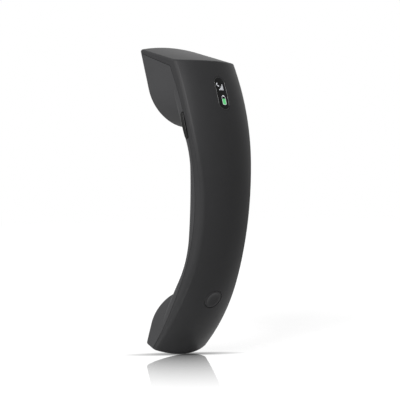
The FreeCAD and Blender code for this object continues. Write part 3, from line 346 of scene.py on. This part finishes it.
charcoal = (0.0250, 0.0250, 0.0260)
black = (0.014, 0.014, 0.015)
finishes = {
    "spine_cover": moulded("charcoalCover", tinted(charcoal, 0.66), 0.42, gloss=0.095),
    "front_housing": moulded("charcoalHousing", tinted(charcoal, 0.90), 0.56),
    "display_window": polished("blackWindow", 0.0020, 0.08, 0.11),
    "volume_key": polished("blackKey", 0.004, 0.14, 0.12),
    "call_button": moulded("satinButton", tinted(charcoal, 0.72), 0.36, grain=0.2, gloss=0.12),
    "ear_cap": moulded("charcoalEarCap", tinted(charcoal, 1.2), 0.42),
    "mouth_cap": moulded("charcoalMouthCap", tinted(charcoal, 1.2), 0.42),
    "ear_mesh": woven("meshCloth"),
    "charge_contacts": metal("platedContact", (0.80, 0.66, 0.36), 0.22),
    "board_screws": metal("screwSteel", (0.45, 0.45, 0.46), 0.35),
    "housing_screws": metal("screwSteelLong", (0.40, 0.40, 0.42), 0.35),
    "volume_key_pin": metal("pinSteel", (0.55, 0.55, 0.56), 0.28),
    "radio_shield": metal("tinnedShield", (0.66, 0.66, 0.63), 0.40),
    "antenna": metal("tinnedAntenna", (0.68, 0.67, 0.62), 0.38),
    "hook_magnet": metal("nickelMagnet", (0.62, 0.60, 0.56), 0.22),
    "microphone": metal("microphoneCan", (0.60, 0.60, 0.60), 0.32),
    "main_board": solderMask("greenBoard"),
    "lower_board": solderMask("greenLowerBoard"),
    "display_module": moulded("darkModule", black, 0.35, gloss=0.4),
    "display_holder": moulded("greyHolder", (0.10, 0.10, 0.105), 0.5),
    "volume_switches": moulded("darkSwitches", black, 0.4, gloss=0.4),
    "call_switch": moulded("darkCallSwitch", black, 0.4, gloss=0.4),
    "receiver": moulded("receiverCase", black, 0.4, gloss=0.4),
    "battery_pack": moulded("batteryWrap", (0.030, 0.085, 0.170), 0.34, gloss=0.45),
    "battery_pad": rubbery("greyFoam", (0.10, 0.10, 0.10), 0.9),
    "button_pad": rubbery("siliconePad", (0.05, 0.05, 0.05), 0.6),
    "receiver_gasket": rubbery("gasketFoam", (0.03, 0.03, 0.03), 0.85),
    "microphone_boot": rubbery("bootRubber", (0.03, 0.03, 0.03), 0.7),
    "board_link": moulded("amberFilm", (0.36, 0.16, 0.03), 0.3, gloss=0.5),
}
for name, material in finishes.items():
    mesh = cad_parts[name].data
    mesh.materials.clear()
    mesh.materials.append(material)
print("finishes:", len(finishes))


# Lit marks on the display: receiver, signal bars and battery, in millimetres where no unit is named

displayMarks = {
    "lean": 19.8,            # degrees that the pane leans back
    "lift": 0.00004,         # metres that the marks stand over the pane
    "thickness": 0.00003,    # metres
    "reach": 0.006,          # metres before and behind its place where the pane is looked for
    "step": 0.6,             # length of the faces of a tile
    "cornerSteps": 2,
    "longest": 0.96,         # an edge past this is cut up
    "cuts": 6,
}
paneLow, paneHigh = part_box("display_window")
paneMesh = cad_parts["display_window"].data
paneCorners = [v.co for v in paneMesh.vertices]
paneTree = BVHTree.FromPolygons(paneCorners, [tuple(p.vertices) for p in paneMesh.polygons])
paneLean = math.radians(displayMarks["lean"])
paneOut = Vector((0, -math.cos(paneLean), math.sin(paneLean)))


def onPane(right, up):
    # the point over the pane at these millimetres from its middle
    aside = Vector((right, up * math.sin(paneLean), up * math.cos(paneLean))) * millimetre
    spot = (paneLow + paneHigh) / 2 + aside
    reach = displayMarks["reach"]
    hit = paneTree.ray_cast(spot + paneOut * reach, -paneOut, reach * 2)[0]
    return hit + paneOut * displayMarks["lift"]


def faceOutward(shape):
    bmesh.ops.recalc_face_normals(shape, faces=shape.faces)
    if sum((f.normal for f in shape.faces), Vector()).dot(paneOut) < 0:
        bmesh.ops.reverse_faces(shape, faces=shape.faces)


def rideHandset(name, shape, material):
    mesh = bpy.data.meshes.new(name)
    shape.to_mesh(mesh)
    shape.free()
    mesh.materials.append(material)
    item = bpy.data.objects.new(name, mesh)
    scene.collection.objects.link(item)
    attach(item, "handset")


def tile(shape, right, up, width, height, corner, turn=0.0):
    # a flat rounded tile with one face for each short step
    columns = max(1, round(width / displayMarks["step"]))
    rows = max(1, round(height / displayMarks["step"]))
    corners = bmesh.ops.create_grid(shape, x_segments=columns, y_segments=rows, size=0.5)["verts"]
    bmesh.ops.scale(shape, verts=corners, vec=(width, height, 1))
    around = Matrix.Rotation(math.radians(turn), 3, "Z")
    bmesh.ops.rotate(shape, verts=corners, cent=(0, 0, 0), matrix=around)
    bmesh.ops.translate(shape, verts=corners, vec=(right, up, 0))
    ends = [v for v in corners if len(v.link_edges) == 2]
    bmesh.ops.bevel(shape, geom=ends, offset=corner, offset_type="OFFSET", affect="VERTICES",
                    segments=displayMarks["cornerSteps"], profile=0.5, material=-1, clamp_overlap=True)


litPixels = {
    "dots": 9000.0,          # half turns per metre, one for each lit dot
    "dotLevel": 0.90,
    "dotVary": 0.10,
    "dimmer": 0.6,           # light between the dots
    "under": (0.01, 0.01, 0.01),
    "hazeNoise": (900.0, 2.0, 0.5),
    "roughness": 0.2,
    "roughVary": 0.1,
    "gloss": 0.2,
    "strength": 1.0,
}


def litMark(name, colour):
    # light from rows of fine dots
    pixels = litPixels
    finish = finishNamed(name)
    spot = finish.across()
    sideways = (spot * pixels["dots"] * math.pi).sine()
    upwards = (spot.output("Z") * pixels["dots"] * math.pi).sine()
    dots = (sideways * upwards * pixels["dotVary"] + pixels["dotLevel"]).clamped()
    haze = finish.noise(pixels["hazeNoise"])
    return finish.surface({
        "Base Color": shade(pixels["under"]),
        "Roughness": (haze * pixels["roughVary"] + pixels["roughness"]).clamped(),
        "Specular IOR Level": pixels["gloss"],
        "Emission Color": finish.mixed(dots, shade(colour, pixels["dimmer"]), shade(colour)),
        "Emission Strength": pixels["strength"],
    })


def layOnPane(name, shape, material):
    # bends the flat mark to the pane and gives it a thickness
    long = [e for e in shape.edges if e.calc_length() > displayMarks["longest"]]
    if long:
        bmesh.ops.subdivide_edges(shape, edges=long, cuts=displayMarks["cuts"], use_grid_fill=True)
    for v in shape.verts:
        v.co = onPane(v.co.x, v.co.y)
    faceOutward(shape)
    bmesh.ops.solidify(shape, geom=shape.faces[:], thickness=displayMarks["thickness"])
    rideHandset(name, shape, material)


white = litMark("litWhite", (0.78, 0.80, 0.84))
green = litMark("litGreen", (0.10, 0.60, 0.19))

signalBars = {
    "left": -1.35,
    "foot": 2.1,
    "width": 0.50,
    "gap": 0.92,
    "corner": 0.08,
    "heights": (0.8, 1.7, 2.8, 4.2),
}


def buildSignalBars():
    bars = signalBars
    shape = bmesh.new()
    for number, height in enumerate(bars["heights"]):
        right = bars["left"] + number * bars["gap"]
        tile(shape, right, bars["foot"] + height / 2, bars["width"], height, bars["corner"])
    layOnPane("signal_bars", shape, white)


receiverMark = {
    "right": -1.35,
    "up": 6.3,
    "radius": 1.60,
    "band": 0.40,
    "sweep": 125.0,          # degrees of the bow from end to end
    "steps": 10,
    "pad": (0.68, 0.78),
    "padCorner": 0.12,
    "padInset": 8.0,         # degrees from the end of the bow to the middle of a pad
    "turn": 205.0,           # degrees
}


def buildReceiverMark():
    # a bowed band with an ear pad and a mouth pad
    mark = receiverMark
    shape = bmesh.new()
    inner = shape.verts.new((mark["radius"] - mark["band"], 0, 0))
    outer = shape.verts.new((mark["radius"], 0, 0))
    edge = shape.edges.new((inner, outer))
    half = math.radians(mark["sweep"] / 2)
    start = Matrix.Rotation(-half, 3, "Z")
    bmesh.ops.rotate(shape, verts=[inner, outer], cent=(0, 0, 0), matrix=start)
    bmesh.ops.spin(shape, geom=[inner, outer, edge], cent=(0, 0, 0), axis=(0, 0, 1),
                   dvec=(0, 0, 0), angle=half * 2, steps=mark["steps"], use_merge=False)
    width, height = mark["pad"]
    middle = mark["radius"] - width / 2
    for end in (-1, 1):
        bearing = end * (half - math.radians(mark["padInset"]))
        tile(shape, middle * math.cos(bearing), middle * math.sin(bearing), width, height,
             mark["padCorner"], math.degrees(bearing))
    tilt = Matrix.Rotation(math.radians(mark["turn"]), 3, "Z")
    bmesh.ops.rotate(shape, verts=shape.verts, cent=(0, 0, 0), matrix=tilt)
    bmesh.ops.translate(shape, verts=shape.verts, vec=(mark["right"], mark["up"], 0))
    layOnPane("receiver_mark", shape, white)


batteryMark = {
    "right": 0.35,
    "foot": -8.1,
    "width": 2.9,
    "height": 6.0,
    "line": 0.22,
    "corner": 0.7,
    "cornerSteps": 3,
    "nub": (1.3, 0.55),
    "nubCorner": 0.15,
    "charge": 3.9,           # height of the filled part
    "chargeCorner": 0.2,
    "clear": 0.04,           # gap between it and the line
}


def buildBatteryMark():
    mark = batteryMark
    shape = bmesh.new()
    corners = bmesh.ops.create_grid(shape, x_segments=1, y_segments=1, size=0.5)["verts"]
    bmesh.ops.scale(shape, verts=corners, vec=(mark["width"], mark["height"], 1))
    middle = mark["foot"] + mark["height"] / 2
    bmesh.ops.translate(shape, verts=corners, vec=(mark["right"], middle, 0))
    bmesh.ops.bevel(shape, geom=corners, offset=mark["corner"], offset_type="OFFSET", affect="VERTICES",
                    segments=mark["cornerSteps"], profile=0.5, material=-1, clamp_overlap=True)
    bmesh.ops.inset_individual(shape, faces=shape.faces[:], thickness=mark["line"], depth=0.0)
    inside = max(shape.faces, key=lambda f: f.calc_area())
    bmesh.ops.delete(shape, geom=[inside], context="FACES_ONLY")
    width, height = mark["nub"]
    top = mark["foot"] + mark["height"]
    tile(shape, mark["right"], top + height / 2, width, height, mark["nubCorner"])
    layOnPane("battery_mark", shape, white)


def buildBatteryCharge():
    mark = batteryMark
    shape = bmesh.new()
    inset = mark["line"] + mark["clear"]
    middle = mark["foot"] + inset + mark["charge"] / 2
    tile(shape, mark["right"], middle, mark["width"] - inset * 2, mark["charge"], mark["chargeCorner"])
    layOnPane("battery_charge", shape, green)


buildSignalBars()
buildReceiverMark()
buildBatteryMark()
buildBatteryCharge()
print("display marks ready")


# Rounded rim that holds the display pane, in millimetres

paneRim = {
    "half": 4.40,            # half width of the pane
    "length": 23.4,
    "inset": 0.04,
    "bead": 0.42,            # width of the bead
    "height": 0.17,
    "sunk": 0.01,            # depth of its edges in the pane
    "segments": 64,
    "beadCuts": 5,
    "sideCuts": 14,
    "longest": 1.2,          # an edge past this gets the side cuts
    "closeEnough": 0.001,    # a corner this near to half length stays there
}


def buildPaneRim():
    rim = paneRim
    shape = bmesh.new()
    outer = rim["half"] - rim["inset"]
    ends = rim["length"] / 2 - rim["half"]
    loop = bmesh.ops.create_circle(shape, cap_ends=True, segments=rim["segments"], radius=outer)["verts"]
    for v in loop:
        if abs(v.co.y) > rim["closeEnough"]:
            v.co.y += math.copysign(ends, v.co.y)
    bmesh.ops.inset_individual(shape, faces=shape.faces[:], thickness=rim["bead"], depth=0.0)
    pane = max(shape.faces, key=lambda f: f.calc_area())
    bmesh.ops.delete(shape, geom=[pane], context="FACES_ONLY")

    def inward(v):
        # share of the bead's width, from the outer edge to the inner one
        rest = max(0.0, abs(v.co.y) - ends)
        return (outer - math.hypot(v.co.x, rest)) / rim["bead"]

    across = [e for e in shape.edges if abs(inward(e.verts[0]) - inward(e.verts[1])) > 0.5]
    bmesh.ops.subdivide_edges(shape, edges=across, cuts=rim["beadCuts"], use_grid_fill=True)
    along = [e for e in shape.edges if e.calc_length() > rim["longest"]]
    bmesh.ops.subdivide_edges(shape, edges=along, cuts=rim["sideCuts"], use_grid_fill=True)
    for v in shape.verts:
        swell = math.sqrt(max(0.0, 1 - (2 * inward(v) - 1) ** 2))
        rise = swell * (rim["height"] + rim["sunk"]) - rim["sunk"]
        v.co = onPane(v.co.x, v.co.y) + paneOut * (rise * millimetre - displayMarks["lift"])
    faceOutward(shape)
    for face in shape.faces:
        face.smooth = True
    rideHandset("pane_rim", shape, polished("blackRim", 0.018, 0.28, 0.35))


buildPaneRim()
print("pane rim ready")


# Floor, backdrop, lamps and camera, in metres

floor = {
    "half": 2.4,
    "gap": 0.0001,           # how far the floor lies under the handset
    "paint": (0.66, 0.66, 0.66),
    "cloudNoise": (3.0, 3.0, 0.5),
    "darker": 0.99,
    "lighter": 1.02,
    "glow": 1.42,            # brightness that only the camera, gloss and glass see
    "glowFar": 1.80,         # the same, far from the handset
    "glowStart": 0.25,       # metres from its foot where the one starts to turn into the other
    "glowReach": 0.5,        # metres that the change takes
    "glowShare": 0.5,
    "mirrorShare": 0.90,     # share of the mirror where the handset stands
    "mirrorReach": 0.215,    # metres from there to where the mirror ends
    "mirrorFall": 1.7,
    "mirrorBlur": 0.03,
    "shadeSize": (0.043, 0.0095),    # half axes of the painted shadow under the handset
    "shadeTurn": -28.0,      # degrees
    "shadeFall": 0.85,
    "shadeDepth": 0.9,
    # colour of the painted shadow under the handset
    "paintedShadow": (0.02, 0.02, 0.02),
}


def seenDirectly(finish):
    # 1 for what the camera, a gloss or a glass sees, 0 for light on the handset
    ray = finish.node("ShaderNodeLightPath", {}, {}, "Is Camera Ray")
    return (ray + ray.output("Is Glossy Ray") + ray.output("Is Transmission Ray")).clamped()


def paintFloor(level):
    # white paint that mirrors the handset near its foot, with a shadow painted there that only the
    # camera sees
    finish = finishNamed("whiteFloor")
    cloud = finish.noise(floor["cloudNoise"])
    darker, lighter = shade(floor["paint"], floor["darker"]), shade(floor["paint"], floor["lighter"])
    paint = finish.mixed(cloud, darker, lighter)
    matt = finish.node("ShaderNodeBsdfDiffuse", {}, {"Color": paint})
    lowest = min(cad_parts["spine_cover"].data.vertices, key=lambda v: v.co.z).co
    foot = (0.0, lowest.y, level)
    values = {0: finish.place(), 1: foot}
    away = finish.node("ShaderNodeVectorMath", {"operation": "DISTANCE"}, values, "Value")
    far = ((away - floor["glowStart"]) * (1 / floor["glowReach"])).clamped()
    bright = far * (floor["glowFar"] - floor["glow"]) + floor["glow"]
    glow = finish.node("ShaderNodeEmission", {}, {"Color": (1, 1, 1, 1), "Strength": bright})
    seen = seenDirectly(finish) * floor["glowShare"]
    lit = finish.node("ShaderNodeMixShader", {}, {0: seen, 1: matt, 2: glow})
    near = (1 - away * (1 / floor["mirrorReach"])).clamped()
    share = near ** floor["mirrorFall"] * floor["mirrorShare"]
    values = {"Color": (1, 1, 1, 1), "Roughness": floor["mirrorBlur"]}
    gloss = finish.node("ShaderNodeBsdfAnisotropic", {}, values)
    mirror = finish.node("ShaderNodeMixShader", {}, {0: share, 1: lit, 2: gloss})
    # painted shadow: a dark oval round the foot, mixed over the floor for camera rays only
    oval = finish.node("ShaderNodeMapping", {"vector_type": "TEXTURE"}, {
        "Vector": finish.place(),
        "Location": foot,
        "Rotation": (0, 0, math.radians(floor["shadeTurn"])),
        "Scale": floor["shadeSize"] + (1.0,),
    })
    ring = finish.node("ShaderNodeVectorMath", {"operation": "LENGTH"}, {0: oval}, "Value")
    viewed = finish.node("ShaderNodeLightPath", {}, {}, "Is Camera Ray")
    paintedShadowShare = (1 - ring).clamped() ** floor["shadeFall"] * floor["shadeDepth"] * viewed
    paintedShadow = finish.node("ShaderNodeBsdfDiffuse", {}, {"Color": shade(floor["paintedShadow"])})
    top = finish.node("ShaderNodeMixShader", {}, {0: paintedShadowShare, 1: mirror, 2: paintedShadow})
    finish.node("ShaderNodeOutputMaterial", {}, {"Surface": top})
    return finish.owner


def buildFloor():
    level = cadBox[0][2] - floor["gap"]
    shape = bmesh.new()
    bmesh.ops.create_grid(shape, x_segments=2, y_segments=2, size=floor["half"])
    bmesh.ops.translate(shape, verts=shape.verts, vec=(0, 0, level))
    mesh = bpy.data.meshes.new("floorTop")
    shape.to_mesh(mesh)
    shape.free()
    mesh.materials.append(paintFloor(level))
    item = bpy.data.objects.new("floorTop", mesh)
    scene.collection.objects.link(item)


studio = {
    "fill": 0.28,            # light of the walls on the handset
    "lamps": (               # name, place, width and height, watts
        ("keyLamp", (-1.12, 0.10, 0.66), (1.0, 1.0), 13.5),
        ("topLamp", (0.20, 0.10, 1.30), (1.2, 1.2), 2.3),
        ("edgeLamp", (-0.80, -0.54, 0.74), (0.32, 0.7), 15.0),
    ),
    "aim": (0.0, 0.0, 0.11),
}


def buildBackdrop():
    scene.world = bpy.data.worlds.new("whiteStudio")
    finish = Finish(scene.world)
    level = seenDirectly(finish) * (1 - studio["fill"]) + studio["fill"]
    wall = finish.node("ShaderNodeBackground", {}, {"Color": (1, 1, 1, 1), "Strength": level})
    finish.node("ShaderNodeOutputWorld", {}, {"Surface": wall})


def placeLamps():
    for name, spot, size, power in studio["lamps"]:
        data = bpy.data.lights.new(name, "AREA")
        data.shape = "RECTANGLE"
        data.size, data.size_y = size
        data.energy = power
        item = bpy.data.objects.new(name, data)
        scene.collection.objects.link(item)
        item.location = spot
        gaze = Vector(studio["aim"]) - Vector(spot)
        item.rotation_euler = gaze.to_track_quat("-Z", "Y").to_euler()


camera = {
    "azimuth": -37.0,        # degrees
    "distance": 0.8147,
    "middle": -0.0001,       # depth of the spot that it stands round
    "height": 0.1157,
    "focal": 109.5,          # millimetres, as is the sensor
    "sensor": 36.0,
    "shift": -0.040,
    "nearest": 0.05,
}


def placeCamera():
    data = bpy.data.cameras.new("studioCamera")
    item = bpy.data.objects.new("studioCamera", data)
    scene.collection.objects.link(item)
    turn = math.radians(camera["azimuth"])
    right = math.sin(turn) * camera["distance"]
    depth = camera["middle"] - math.cos(turn) * camera["distance"]
    item.location = (right, depth, camera["height"])
    item.rotation_euler = (math.pi / 2, 0, turn)
    data.lens = camera["focal"]
    data.sensor_width = camera["sensor"]
    data.shift_y = camera["shift"]
    data.clip_start = camera["nearest"]
    scene.camera = item


buildFloor()
buildBackdrop()
placeLamps()
placeCamera()
print("floor, lamps and camera ready")
